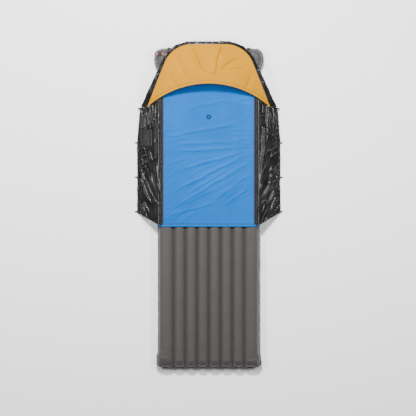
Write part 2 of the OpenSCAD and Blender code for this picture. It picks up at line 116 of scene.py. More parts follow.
# Wings
WING_IN = WING_LOW.x
WING_OUT = EDGE_HIGH.x
WING_TAPER = 0.018
TAPER_Y = 0.380
WING_TOP_Z = WING_HIGH.z
WING_FLAT = 0.015
SLOPE_X = WING_IN + WING_FLAT
SLOPE = math.atan((WING_TOP_Z - 0.0040) / (WING_OUT - SLOPE_X))
SLOPE_LEN = (WING_OUT - SLOPE_X) / math.cos(SLOPE)
WING_FOOT_IN = WING_HEM_LOW.y
WING_FOOT_OUT = WING_HEM_HIGH.y - 0.009
WING_TOP_Y = TIP_Y - 0.003
ZIP_S = 0.020
ZIP_Y = (ZIP_LOW.y, ZIP_HIGH.y)
HOOK_YS = {
    side: [sum(corner.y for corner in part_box("hook_%s_%d" % (name, i))) / 2 for i in (1, 2, 3, 4)]
    for name, side in (("left", -1), ("right", 1))
}


# Thicknesses of the fabrics and of the printed mark
NYLON_T = 0.0010
WING_T = 0.0012
LINING_T = 0.0008
TAPE_T = 0.0009
ZIP_T = 0.0006
WELD_T = 0.0012
PRINT_T = 0.0004
# Nothing soft goes lower than this above the floor
GROUND = 0.0012


# ---- Properties ----

class BedColours(bpy.types.PropertyGroup):
    """Colours of the bed's fabrics"""
    panel: FloatVectorProperty(
        name="Panel", description="Blue top fabric", subtype="COLOR", size=3,
        min=0, max=1, default=(0.0, 0.100, 0.37))
    hood: FloatVectorProperty(
        name="Hood", description="Yellow hood fabric", subtype="COLOR", size=3,
        min=0, max=1, default=(0.43, 0.185, 0.0))
    wing: FloatVectorProperty(
        name="Wings", description="Black shiny nylon", subtype="COLOR", size=3,
        min=0, max=1, default=(0.005, 0.005, 0.0055))
    mattress: FloatVectorProperty(
        name="Mattress", description="Warm grey coated nylon", subtype="COLOR", size=3,
        min=0, max=1, default=(0.029, 0.0235, 0.0225))
    webbing: FloatVectorProperty(
        name="Loops", description="Khaki woven tape", subtype="COLOR", size=3,
        min=0, max=1, default=(0.16, 0.13, 0.035))


class BedSizes(bpy.types.PropertyGroup):
    """Sizes of the soft details"""
    cloth: FloatProperty(
        name="Cloth", description="Thickness of a sewn fabric", default=0.0012,
        min=0.0006, max=0.003, unit="LENGTH")
    wrinkle: FloatProperty(
        name="Wrinkles", description="Height of the blue panel's small wrinkles", default=0.0020,
        min=0.0, max=0.008, unit="LENGTH")
    crinkle: FloatProperty(
        name="Crinkles", description="Height of the black nylon's small crinkles", default=0.0030,
        min=0.0, max=0.01, unit="LENGTH")
    stitch: FloatProperty(
        name="Stitch", description="Length of one stitch", default=0.0032,
        min=0.002, max=0.006, unit="LENGTH")


def colours():
    return bpy.context.scene.bed_colours


def sizes():
    return bpy.context.scene.bed_sizes


# ---- Small helpers ----

def smooth(x, low, high):
    """0 below low, 1 above high and an even curve between them."""
    t = min(1.0, max(0.0, (x - low) / (high - low)))
    return t * t * (3 - 2 * t)


def window(x, rise, full, fall, end):
    """1 from full to fall, 0 before rise and after end."""
    return smooth(x, rise, full) * (1 - smooth(x, fall, end))


def waves(x, y, seed):
    """Soft noise from -1 to 1, with features about one unit across."""
    return noise.noise(Vector((x, y, seed * 7.31)))


def creases(x, y, seed):
    """Sharp-topped ridges from 0 to 1, about one unit apart."""
    return (1.0 - min(1.0, 2.2 * abs(waves(x, y, seed)))) ** 2


def fold_height(x, y, folds, seed, wander=0.006):
    """Height of soft folds: each runs between two points, with its own width and height in millimetres."""
    x += wander * waves(x / 0.05, y / 0.07, seed)
    y += wander * waves(x / 0.07, y / 0.05, seed + 1)
    total = 0.0
    for ax, ay, bx, by, width, height in folds:
        along_x, along_y = bx - ax, by - ay
        length = math.hypot(along_x, along_y)
        share = ((x - ax) * along_x + (y - ay) * along_y) / length ** 2
        if -0.15 < share < 1.15:
            off = ((x - ax) * along_y - (y - ay) * along_x) / length * 1000
            off /= width * (0.7 if off > 0 else 1.3)
            if abs(off) < 2.6:
                ends = smooth(share, -0.15, 0.25) * (1 - smooth(share, 0.75, 1.15))
                total += height * 0.001 * math.exp(-off * off) * ends
    return total


def make_object(name, bm, materials, smooth_faces=True):
    """Turns a bmesh into an object whose place is in its mesh."""
    mesh = bpy.data.meshes.new(name)
    for face in bm.faces:
        face.smooth = smooth_faces
    bm.to_mesh(mesh)
    bm.free()
    obj = bpy.data.objects.new(name, mesh)
    bpy.context.scene.collection.objects.link(obj)
    for material in materials:
        mesh.materials.append(material)
    return obj


def cloth_grid(columns, rows, place):
    """A grid whose points are placed by place(u, v), with u and v from 0 to 1, facing up."""
    bm = bmesh.new()
    bmesh.ops.create_grid(bm, x_segments=columns, y_segments=rows, size=0.5)
    for vert in bm.verts:
        vert.co = Vector(place(vert.co.x + 0.5, vert.co.y + 0.5))
    bm.normal_update()
    if sum(face.normal.z * face.calc_area() for face in bm.faces) < 0:
        bmesh.ops.reverse_faces(bm, faces=bm.faces)
    return bm


def thicken(obj, thickness, offset=-1.0):
    """Gives a sheet its thickness, inwards from the side that is seen."""
    wall = obj.modifiers.new("Thickness", "SOLIDIFY")
    wall.thickness = thickness
    wall.offset = offset
    wall.use_even_offset = False
    return obj


def join_mesh(bm, other):
    """Adds another bmesh to bm and welds the points that they share."""
    mesh = bpy.data.meshes.new("joined")
    other.to_mesh(mesh)
    other.free()
    bm.from_mesh(mesh)
    bpy.data.meshes.remove(mesh)
    bmesh.ops.remove_doubles(bm, verts=bm.verts, dist=0.00005)


def settle(obj, body, nodes):
    """Rides a finished piece on its body and hides the nodes that it stands for."""
    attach(obj, body)
    if nodes:
        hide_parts(*nodes)
    return obj


def add_piece(name, bm, key, body, nodes, thickness=None, smooth_faces=True):
    """Makes a piece with its finish, rides it on its body and hides the nodes that it stands for."""
    obj = make_object(name, bm, [MATERIALS[key]], smooth_faces)
    if thickness:
        thicken(obj, thickness)
    return settle(obj, body, nodes)


def tube_along(points, radius, sides=10, squeeze=None):
    """A closed round tube that follows points; squeeze(i) scales its radius at each point."""
    bm = bmesh.new()
    rings = []
    for i, point in enumerate(points):
        ahead = points[min(i + 1, len(points) - 1)] - points[max(i - 1, 0)]
        turn = ahead.to_track_quat("Z", "Y").to_matrix().to_4x4()
        grown = radius * (squeeze(i) if squeeze else 1.0)
        made = bmesh.ops.create_circle(
            bm, cap_ends=i in (0, len(points) - 1), segments=sides, radius=grown,
            matrix=Matrix.Translation(point) @ turn)
        rings.append(made["verts"])
    for near, far in zip(rings, rings[1:]):
        for k in range(sides):
            bm.faces.new((near[k], near[(k + 1) % sides], far[(k + 1) % sides], far[k]))
    bmesh.ops.recalc_face_normals(bm, faces=bm.faces)
    return bm


# Width and height of a thread where it shows
STITCH = (0.0008, 0.0007)


def add_stitches(bm, place, length, lift=0.0006, pitch=0.0044):
    """A row of short raised threads along place(distance), which returns a point and the up direction."""
    size = sizes().stitch
    count = max(2, int(length / pitch))
    for i in range(count):
        middle, up = place((i + 0.5) * length / count)
        ahead = (place((i + 0.5) * length / count + 0.001)[0] - middle).normalized()
        side = up.cross(ahead).normalized()
        turn = Matrix((ahead, side, up)).transposed().to_4x4()
        bmesh.ops.create_cube(
            bm, size=1.0, matrix=Matrix.Translation(middle + up * lift) @ turn
            @ Matrix.Diagonal((size, *STITCH, 1.0)))
    return bm


# ---- Materials ----

# Where the mottling's noise turns from its dark to its light tone
MOTTLE_RANGE = (0.35, 0.7)
# Painted shade for the mattress's grooves, which also stands for the dark weld line at each groove's bottom
GROOVE_SHADE_COLOUR = (0.006, 0.005, 0.005, 1.0)
# The mix node's colour sockets can only be told apart by number
MIX_A, MIX_B, MIX_RESULT = 6, 7, 2


def new_material(name, colour, roughness, **sockets):
    """A Principled material with its fixed numbers set on the shader itself."""
    material = bpy.data.materials.new(name)
    material.use_nodes = True
    shader = material.node_tree.nodes["Principled BSDF"]
    shader.inputs["Base Color"].default_value = (*colour, 1.0)
    shader.inputs["Roughness"].default_value = roughness
    for socket, value in sockets.items():
        shader.inputs[socket.replace("_", " ")].default_value = value
    return material


def add_node(material, kind, **inputs):
    """One shader node, with some of its input sockets set."""
    made = material.node_tree.nodes.new(kind)
    for socket, value in inputs.items():
        made.inputs[socket.replace("_", " ")].default_value = value
    return made


def object_coords(material, turn=0.0):
    """The object's own coordinates, turned about Z."""
    coords = add_node(material, "ShaderNodeTexCoord")
    mapping = add_node(material, "ShaderNodeMapping", Rotation=(0, 0, turn))
    material.node_tree.links.new(coords.outputs["Object"], mapping.inputs["Vector"])
    return mapping.outputs["Vector"]


def add_texture(material, kind, turn=0.0, **inputs):
    """The grey value of a texture in the object's own coordinates."""
    texture = add_node(material, kind, **inputs)
    material.node_tree.links.new(object_coords(material, turn), texture.inputs["Vector"])
    return texture.outputs["Fac"]


def feed(material, output, socket):
    """Links a node's output to one of the shader's sockets."""
    shader = material.node_tree.nodes["Principled BSDF"]
    material.node_tree.links.new(output, shader.inputs[socket])


def vary_colour(material, colour, dark, scale):
    """Mottles the base colour between itself and a darker or lighter one."""
    cloud = add_texture(material, "ShaderNodeTexNoise", Scale=scale, Detail=4.0, Roughness=0.6)
    ramp = add_node(material, "ShaderNodeValToRGB")
    for element, place, tone in zip(ramp.color_ramp.elements, MOTTLE_RANGE, (dark, colour)):
        element.position = place
        element.color = (*tone, 1.0)
    material.node_tree.links.new(cloud, ramp.inputs["Fac"])
    feed(material, ramp.outputs["Color"], "Base Color")


def vary_roughness(material, low, high, scale):
    """Makes some places glossier than others."""
    cloud = add_texture(material, "ShaderNodeTexNoise", Scale=scale, Detail=3.0)
    spread = add_node(material, "ShaderNodeMapRange", From_Min=0.3, From_Max=0.7, To_Min=low, To_Max=high)
    material.node_tree.links.new(cloud, spread.inputs["Value"])
    feed(material, spread.outputs["Result"], "Roughness")


def paint_groove_shade(material):
    """Paints shade into the base colour where the mesh's groove attribute says so: painted groove shade,
    which also stands for the dark weld line at each groove's bottom.
    """
    links = material.node_tree.links
    shader = material.node_tree.nodes["Principled BSDF"]
    groove = add_node(material, "ShaderNodeAttribute")
    groove.attribute_name = "groove"
    mix = add_node(material, "ShaderNodeMix")
    mix.data_type = "RGBA"
    mix.inputs[MIX_B].default_value = GROOVE_SHADE_COLOUR
    links.new(shader.inputs["Base Color"].links[0].from_socket, mix.inputs[MIX_A])
    links.new(groove.outputs["Fac"], mix.inputs[0])
    feed(material, mix.outputs[MIX_RESULT], "Base Color")


def weave_bump(material, thread, strength, crinkle=0.0, crinkle_scale=60.0):
    """A plain weave of crossing threads, with optional small crinkles, as bump."""
    links = material.node_tree.links
    both = add_node(material, "ShaderNodeMath")
    both.operation = "MAXIMUM"
    for i, turn in enumerate((0.0, math.pi / 2)):
        threads = add_texture(
            material, "ShaderNodeTexWave", turn, Scale=1.0 / (thread * 20.0), Distortion=0.4)
        links.new(threads, both.inputs[i])
    bump = add_node(material, "ShaderNodeBump", Strength=strength, Distance=thread)
    links.new(both.outputs["Value"], bump.inputs["Height"])
    if crinkle:
        folds = add_texture(
            material, "ShaderNodeTexNoise", Scale=crinkle_scale, Detail=6.0, Roughness=0.65)
        coarse = add_node(material, "ShaderNodeBump", Strength=1.0, Distance=crinkle)
        links.new(folds, coarse.inputs["Height"])
        links.new(coarse.outputs["Normal"], bump.inputs["Normal"])
    feed(material, bump.outputs["Normal"], "Normal")


def shade(colour, amount):
    """The same colour, lighter or darker."""
    return tuple(min(1.0, c * amount) for c in colour)


MATERIALS = {}
# Finishes with painted shade where the mesh says that there is a groove, which also stands for the dark
# weld line there
GROOVE_SHADED = ("mattress",)


def finish(key, name, colour, roughness, weave, mottle=None, gloss=None, **sockets):
    """Makes one finish: its weave, and where given its mottled colour and its varied gloss."""
    material = new_material(name, colour, roughness, **sockets)
    if mottle:
        vary_colour(material, *mottle)
    if gloss:
        vary_roughness(material, *gloss)
    # Painted shade in the grooves, which also stands for their dark weld lines
    if key in GROOVE_SHADED:
        paint_groove_shade(material)
    weave_bump(material, *weave)
    MATERIALS[key] = material


def make_materials():
    """All finishes, one per kind of fabric or moulding."""
    tint = colours()
    blue, yellow, black, grey = tint.panel, tint.hood, tint.wing, tint.mattress
    finish("panel", "panel_taffeta", blue, 0.5, (0.0006, 0.12, 0.0006, 45.0),
           (blue, shade(blue, 0.86), 5.0), Specular_IOR_Level=0.06)
    finish("panel_thread", "panel_thread", shade(blue, 0.72), 0.6, (0.0005, 0.2))
    finish("hem", "hem_taffeta", shade(blue, 0.93), 0.55, (0.0006, 0.15, 0.0008, 90.0),
           (shade(blue, 0.95), shade(blue, 0.78), 60.0), Specular_IOR_Level=0.14)

    finish("hood", "hood_taffeta", yellow, 0.55, (0.0006, 0.12, 0.0006, 40.0),
           (yellow, shade(yellow, 0.90), 4.0), Specular_IOR_Level=0.05)
    finish("lining", "hood_lining_taffeta", shade(yellow, 0.8), 0.6, (0.0006, 0.15),
           (shade(yellow, 0.82), shade(yellow, 0.66), 6.0))
    finish("hood_thread", "hood_thread", shade(yellow, 0.7), 0.6, (0.0005, 0.2))
    finish("filling", "hood_filling_fibre", (0.8, 0.8, 0.78), 0.9, (0.002, 0.5),
           ((0.82, 0.82, 0.8), (0.7, 0.7, 0.68), 60.0))

    finish("nylon", "black_nylon", black, 0.30, (0.0006, 0.06, 0.0007, 60.0),
           (black, shade(black, 0.55), 9.0), (0.24, 0.36, 18.0), Specular_IOR_Level=0.42)
    finish("patch", "pocket_nylon", shade(black, 1.6), 0.34, (0.0006, 0.15, 0.0016, 45.0),
           (shade(black, 2.0), shade(black, 1.2), 20.0), Specular_IOR_Level=0.5)
    finish("edge", "wing_binding", shade(black, 1.2), 0.5, (0.0008, 0.4, 0.0010, 160.0),
           (shade(black, 1.6), shade(black, 0.8), 90.0))
    finish("black_thread", "black_thread", (0.03, 0.03, 0.032), 0.6, (0.0005, 0.2))

    finish("mattress", "mattress_nylon", grey, 0.62, (0.0008, 0.25, 0.0007, 120.0),
           (grey, shade(grey, 0.84), 14.0), Sheen_Weight=0.25, Sheen_Roughness=0.5)
    finish("weld", "mattress_weld_finish", shade(grey, 0.75), 0.5, (0.0012, 0.6, 0.0006, 200.0),
           (shade(grey, 0.85), shade(grey, 0.6), 60.0))
    finish("baffle", "baffle_fabric_finish", (0.16, 0.155, 0.15), 0.8, (0.001, 0.4),
           ((0.17, 0.16, 0.155), (0.12, 0.115, 0.11), 40.0))

    finish("tape", "seam_tape_weave", (0.035, 0.022, 0.016), 0.75, (0.0010, 0.6),
           ((0.040, 0.024, 0.017), (0.016, 0.010, 0.008), 120.0), Specular_IOR_Level=0.2)
    finish("webbing", "loop_weave", tint.webbing, 0.8, (0.0008, 0.7),
           (shade(tint.webbing, 1.2), shade(tint.webbing, 0.7), 300.0))
    finish("elastic", "elastic_weave", (0.02, 0.02, 0.022), 0.8, (0.0014, 0.8),
           ((0.03, 0.03, 0.032), (0.012, 0.012, 0.013), 200.0))
    finish("cord", "cord_braid", (0.03, 0.03, 0.032), 0.7, (0.0012, 0.8),
           ((0.07, 0.068, 0.05), (0.02, 0.02, 0.02), 900.0))
    finish("ink", "emblem_ink", (0.0015, 0.005, 0.012), 0.7, (0.0006, 0.2),
           ((0.0015, 0.005, 0.012), (0.001, 0.003, 0.008), 80.0), Specular_IOR_Level=0.1)

    finish("plastic", "black_moulding", (0.006, 0.006, 0.0065), 0.45, (0.0004, 0.05, 0.0001, 600.0),
           None, (0.38, 0.54, 400.0), Specular_IOR_Level=0.3)
    finish("tab", "coral_rubber", (0.62, 0.045, 0.03), 0.5, (0.0005, 0.08),
           ((0.62, 0.045, 0.03), (0.5, 0.03, 0.02), 100.0), (0.42, 0.6, 300.0))
    finish("metal", "zip_alloy", (0.42, 0.42, 0.43), 0.3, (0.0003, 0.05), None,
           (0.22, 0.42, 500.0), Metallic=1.0)


NODE_FINISH = {
    "mattress_baffles": "baffle", "valve_base": "plastic", "valve_plug": "plastic",
    "valve_pull_tab": "tab", "foot_elastic": "elastic", "under_strap_foot": "elastic",
    "under_strap_middle": "elastic", "sheet_emblem": "ink", "zip_slider": "metal",
    "zip_puller": "metal", "zip_stops": "metal", "cord_tab": "edge", "cord_lock": "plastic",
    "cord_lock_button": "plastic", "draw_cord": "cord", "hood_fill": "filling",
    "wing_left_loops": "webbing", "wing_right_loops": "webbing",
}


def dress_frame():
    """Gives every CAD node that stays in view its own finish."""
    for name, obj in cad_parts.items():
        key = "plastic" if name.startswith("hook_") else NODE_FINISH.get(name)
        if key:
            obj.data.materials.clear()
            obj.data.materials.append(MATERIALS[key])


# ---- Stage: camera, light and floor ----

VIEW_WIDTH = 2.384
CAMERA_HEIGHT = 40.0
SENSOR = 36.0
VIEW_CENTRE = (-0.004, 0.001)
WORLD_STRENGTH = 0.18
AIM = (0, 0.2, 0)
FLOOR_HALF = 9.0
PALE = (0.93, 0.93, 0.93)
# The floor is just below the bed, so that no two faces share one plane
FLOOR_DROP = 0.0004
# Name, place, width, depth and power
SOFTBOXES = (
    ("Key", (-0.4, 2.7, 3.8), 0.9, 0.7, 480),
    ("Strip_left", (-2.5, 0.6, 3.2), 1.6, 0.22, 100),
    ("Strip_right", (2.5, 0.6, 3.2), 1.6, 0.22, 100),
)


def add_softbox(name, place, width, depth, power):
    """An area light that is aimed at the bed."""
    light = bpy.data.lights.new(name, "AREA")
    light.shape = "RECTANGLE"
    light.size = width
    light.size_y = depth
    light.energy = power
    obj = bpy.data.objects.new(name, light)
    obj.location = place
    obj.rotation_euler = (Vector(AIM) - Vector(place)).to_track_quat("-Z", "Y").to_euler()
    bpy.context.scene.collection.objects.link(obj)


def make_stage():
    """The camera straight above, an even sky, three softboxes and a pale floor."""
    camera = bpy.data.cameras.new("Camera")
    camera.sensor_width = SENSOR
    camera.lens = SENSOR * CAMERA_HEIGHT / VIEW_WIDTH
    camera.clip_end = 2 * CAMERA_HEIGHT
    obj = bpy.data.objects.new("Camera", camera)
    obj.location = (*VIEW_CENTRE, CAMERA_HEIGHT)
    bpy.context.scene.collection.objects.link(obj)
    bpy.context.scene.camera = obj

    world = bpy.data.worlds.new("Studio")
    world.use_nodes = True
    sky = world.node_tree.nodes["Background"]
    sky.inputs["Color"].default_value = (1, 1, 1, 1)
    sky.inputs["Strength"].default_value = WORLD_STRENGTH
    bpy.context.scene.world = world
    for name, place, width, depth, power in SOFTBOXES:
        add_softbox(name, place, width, depth, power)

    bm = bmesh.new()
    bmesh.ops.create_grid(bm, x_segments=2, y_segments=2, size=FLOOR_HALF)
    for vert in bm.verts:
        vert.co.z -= FLOOR_DROP
    pale = new_material("pale_floor", PALE, 0.9)
    make_object("floor", bm, [pale])


# ---- Draw cord ----

CORD_D = 0.0024
CORD_LEN = 0.062


def make_draw_cord():
    """The elastic cord that comes out of its tab on the right wing and goes through the lock."""
    middle = (CORD_LOW + CORD_HIGH) / 2
    top = CORD_HIGH.y
    steps = 40
    points = [Vector((middle.x, top - CORD_LEN * i / steps, middle.z)) for i in range(steps + 1)]
    bm = tube_along(points, CORD_D / 2, 12, lambda i: 1.0 - 0.12 * (i % 2))
    cord = add_piece("elastic_draw_cord", bm, "cord", "wing_right", ["draw_cord"])


# ---- Mattress ----

# At the head and at the foot: how far a corner spreads, over what length, and its round
HEAD_CORNER = (0.020, 0.150, 0.050)
FOOT_CORNER = (0.009, 0.100, 0.030)
PUCKER = 0.0050
# The weld stands out from a core of this half width and half length
CORE_X = 0.24
CORE_Y = 0.86


def tube_columns():
    """Across the bed: the place of each point at the middle of the mattress, and its height from 0 to 1."""
    found = []
    per_tube = 14
    reach = GROOVE_PITCH / 2 / TUBE_R
    for tube in range(3):
        for k in range(per_tube):
            t = -1 + 2 * k / per_tube
            t = math.sin(t * math.pi / 2) * 0.35 + t * 0.65
            found.append(((tube + 0.5 + t / 2) * GROOVE_PITCH, math.sqrt(1 - (t * reach) ** 2)))
    centre = OUTER_GROOVE + GROOVE_PITCH / 2
    for k in range(per_tube // 2):
        t = -1 + 2 * k / per_tube
        found.append((centre + t * GROOVE_PITCH / 2, math.sqrt(1 - (t * reach) ** 2)))
    outer = BODY_HALF - TUBE_R
    steps = 14
    for k in range(steps + 1):
        a = math.pi / 2 * k / steps
        start = centre + (outer - centre) * min(1.0, k / 3)
        found.append((start + (BODY_HALF - start) * math.sin(a), math.cos(a)))
    mirrored = [(-x, h) for x, h in reversed(found[1:])]
    return mirrored + found


def tube_rows():
    """Along the bed: the place of each point and its height from 0 to 1, rounded at both ends."""
    steps = 12
    middle = 250
    half = []
    straight = BODY_LEN - TUBE_R
    for k in range(middle // 2 + 1):
        half.append((straight * k / (middle // 2), 1.0))
    for k in range(1, steps + 1):
        a = math.pi / 2 * k / steps
        half.append((straight + TUBE_R * math.sin(a), math.cos(a)))
    return [(-y, h) for y, h in reversed(half[1:])] + half


def groove_depth(x):
    """1 in a groove between two tubes and 0 on a tube's crown."""
    near = abs((abs(x) / GROOVE_PITCH + 0.5) % 1.0 - 0.5) * 2
    return (1 - near) ** 2 if abs(x) < OUTER_GROOVE + GROOVE_PITCH / 2 else 0.0


def mattress_point(x, y, height_x, height_y, top):
    """Puts one point of the mattress's skin in place, with its spread corners and puckers."""
    flare, run, round_r = HEAD_CORNER if y > 0 else FOOT_CORNER
    spread = flare * smooth(abs(y), BODY_LEN - run, BODY_LEN - 0.045)
    outside = smooth(abs(x), OUTER_GROOVE, BODY_HALF)
    side = math.copysign(1, x)
    placed_x = x + side * spread * outside
    half = BODY_HALF + spread
    past = max(0.0, abs(placed_x) - (half - round_r)) / round_r
    shorten = round_r * (1 - math.sqrt(max(0.0, 1 - min(1.0, past) ** 2)))
    shorten = shorten * 0.8 + 0.007 * groove_depth(x)
    near_end = smooth(abs(y), BODY_LEN - 0.11, BODY_LEN)
    wobble = 0.0045 * waves(placed_x / 0.022, y / 0.05, 3) * near_end
    near_corner = outside * smooth(abs(y), BODY_LEN - 0.17, BODY_LEN - 0.08)
    wobble_x = side * 0.0030 * waves(y / 0.022, 0.5, 5) * near_corner
    placed_y = y - math.copysign(shorten * near_end - wobble, y)
    height = TUBE_R * height_x * height_y
    to_end = BODY_LEN - abs(y)
    to_side = BODY_HALF - abs(x)
    pucker = math.exp(-max(0.0, to_end) / 0.040) * creases(x / 0.016, y / 0.10, 11)
    at_side = math.exp(-max(0.0, to_side) / 0.020) * smooth(abs(y), 0.70, 0.88)
    pucker += 0.6 * at_side * creases(y / 0.020, x / 0.06, 12)
    corner = smooth(abs(x), OUTER_GROOVE, BODY_HALF - 0.02)
    corner *= smooth(abs(y), BODY_LEN - 0.12, BODY_LEN - 0.03)
    pucker += 0.9 * corner * creases(x / 0.022 + y / 0.05, y / 0.022 - x / 0.05, 13)
    height -= PUCKER * pucker * math.sqrt(max(0.0, height_x * height_y))
    height += 0.0006 * waves(x / 0.05, y / 0.09, 9) * height_x * height_y
    z = TUBE_MID_Z + height if top else max(0.0, TUBE_MID_Z - height)
    return (placed_x + wobble_x, placed_y, z)


def mattress_half(columns, rows, top):
    """The mattress's upper or lower skin."""
    bm = bmesh.new()
    last_x, last_y = len(columns) - 1, len(rows) - 1
    bmesh.ops.create_grid(bm, x_segments=last_x, y_segments=last_y, size=0.5)
    for vert in bm.verts:
        x, height_x = columns[round((vert.co.x + 0.5) * last_x)]
        y, height_y = rows[round((vert.co.y + 0.5) * last_y)]
        vert.co = mattress_point(x, y, height_x, height_y, top)
    bm.normal_update()
    faces_up = sum(face.normal.z * face.calc_area() for face in bm.faces) > 0
    if faces_up != top:
        bmesh.ops.reverse_faces(bm, faces=bm.faces)
    return bm


def make_mattress():
    """The inflated mattress: eight tubes, closed all round, and its welded edge."""
    columns, rows = tube_columns(), tube_rows()
    bm = mattress_half(columns, rows, True)
    join_mesh(bm, mattress_half(columns, rows, False))
    # How much painted shade each point gets: most in the grooves between the tubes
    groove_shade_layer = bm.verts.layers.float.new("groove")
    for vert in bm.verts:
        vert[groove_shade_layer] = smooth(groove_depth(vert.co.x), 0.45, 0.9)
    shell = add_piece(
        "mattress_shell", bm, "mattress", "bed", ["mattress_top_skin", "mattress_bottom_skin"])

    bm = mattress_half(columns, rows, True)
    rim = [edge for edge in bm.edges if edge.is_boundary]
    old = list(bm.faces)
    made = bmesh.ops.extrude_edge_only(bm, edges=rim)
    moved = [item for item in made["geom"] if isinstance(item, bmesh.types.BMVert)]
    bmesh.ops.delete(bm, geom=old, context="FACES")
    for vert in moved:
        x, y, z = vert.co
        inner = Vector((max(-CORE_X, min(CORE_X, x)), max(-CORE_Y, min(CORE_Y, y)), z))
        out = (vert.co - inner).normalized()
        vert.co += out * (WELD_W + 0.0012 * waves(vert.co.x / 0.02, vert.co.y / 0.02, 21))
        vert.co.z += 0.0022 * waves(vert.co.x / 0.018, vert.co.y / 0.018, 23)
    bmesh.ops.recalc_face_normals(bm, faces=bm.faces)
    weld = make_object("mattress_welded_edge", bm, [MATERIALS["weld"]])
    thicken(weld, WELD_T, 0.0)
    settle(weld, "bed", ["mattress_weld"])


# ---- Sheet ----

WRAP_ARC = math.pi / 2 + math.asin(min(1.0, (WRAP_Z - GROUND) / WRAP_R))
WRAP_LEN = WRAP_R * WRAP_ARC
CLOTH_HALF = WRAP_X + WRAP_LEN
SHEET_HEAD = PANEL_HIGH.y

PRINT_LIFT = 0.0003

# Each fold: from x, y to x, y in metres, then its width and height in millimetres
PANEL_FOLDS = (
    (-0.20, 0.415, 0.16, 0.484, 9, 2.6), (-0.19, 0.366, 0.14, 0.376, 8, 2.4),
    (-0.19, 0.325, 0.17, 0.345, 8, 2.8), (-0.15, 0.222, 0.18, 0.315, 8, 3.2),
    (-0.19, 0.100, 0.22, 0.310, 8, 3.6), (-0.10, 0.095, 0.10, 0.215, 7, 2.4),
    (-0.23, -0.015, 0.23, 0.258, 9, 3.4), (-0.16, 0.010, 0.02, 0.105, 7, 2.2),
    (-0.23, -0.045, 0.05, 0.035, 8, 2.4), (0.02, 0.040, 0.23, 0.190, 8, 2.4),
    (0.10, 0.020, 0.24, 0.130, 7, 2.0), (-0.12, 0.560, -0.04, 0.596, 6, 1.8),
    (-0.05, 0.580, 0.10, 0.620, 7, 1.6), (-0.24, 0.250, -0.13, 0.285, 7, 1.8),
    (0.13, 0.390, 0.23, 0.360, 6, 1.8), (0.16, 0.425, 0.25, 0.350, 6, 1.6),
    (-0.24, 0.480, -0.20, 0.600, 6, 1.6), (0.21, 0.500, 0.24, 0.600, 6, 1.4),
)


def panel_wrinkles(x, y):
    """Tension folds across the blue cloth, with smaller ones between them."""
    slant = 0.62 * (1 - smooth(y, 0.10, 0.42))
    along = (y - slant * x) / 0.030
    patchy = smooth(waves(x / 0.16, y / 0.10, 37), -0.2, 0.4)
    small = creases(along, x / 0.22, 39) - 0.3
    height = sizes().wrinkle * (small * patchy + 0.5 * waves(x / 0.10, y / 0.08, 43))
    near_mark = math.hypot(x, y - EMBLEM_Y)
    return (fold_height(x, y, PANEL_FOLDS, 31) + height) * smooth(near_mark, 0.012, 0.045)


def edge_puckers(x, y):
    """Short gathers along the side seams and the foot hem."""
    side = math.exp(-abs(abs(x) - PANEL_HALF) / 0.016) * waves(y / 0.013, x * 3, 47)
    foot = math.exp(-abs(y - FOOT_Y - 0.02) / 0.016) * waves(x / 0.016, y * 3, 49)
    return 0.0011 * side + 0.0010 * foot


def sheet_point(across, y):
    """A point of the blue cloth: flat on the tubes, then round each side to the ground."""
    side = math.copysign(1, across)
    reach = abs(across)
    if reach <= WRAP_X:
        flat = 1 - smooth(reach, 0.215, 0.262)
        rise = panel_wrinkles(across, y) * (0.25 + 0.75 * flat) * smooth(y, FOOT_Y, FOOT_Y + 0.05)
        crown = 0.0010 * (1 - groove_depth(across))
        return (across, y, SHEET_Z + rise + edge_puckers(across, y) + crown)
    angle = (reach - WRAP_X) / WRAP_R
    pull = 0.0012 * waves(y / 0.03, reach / 0.05, 53) * smooth(angle, 0.2, 0.9)
    r = WRAP_R - 0.0002 + pull
    base = SHEET_Z + 0.0006 if angle < 0.3 else SHEET_Z
    rise = panel_wrinkles(side * reach, y) * 0.25 + edge_puckers(across, y)
    rise *= 1 - smooth(angle, 0.2, 0.7)
    x = WRAP_X + r * math.sin(angle)
    z = base - WRAP_R + r * math.cos(angle) + rise
    return (side * x, y, max(GROUND, z))


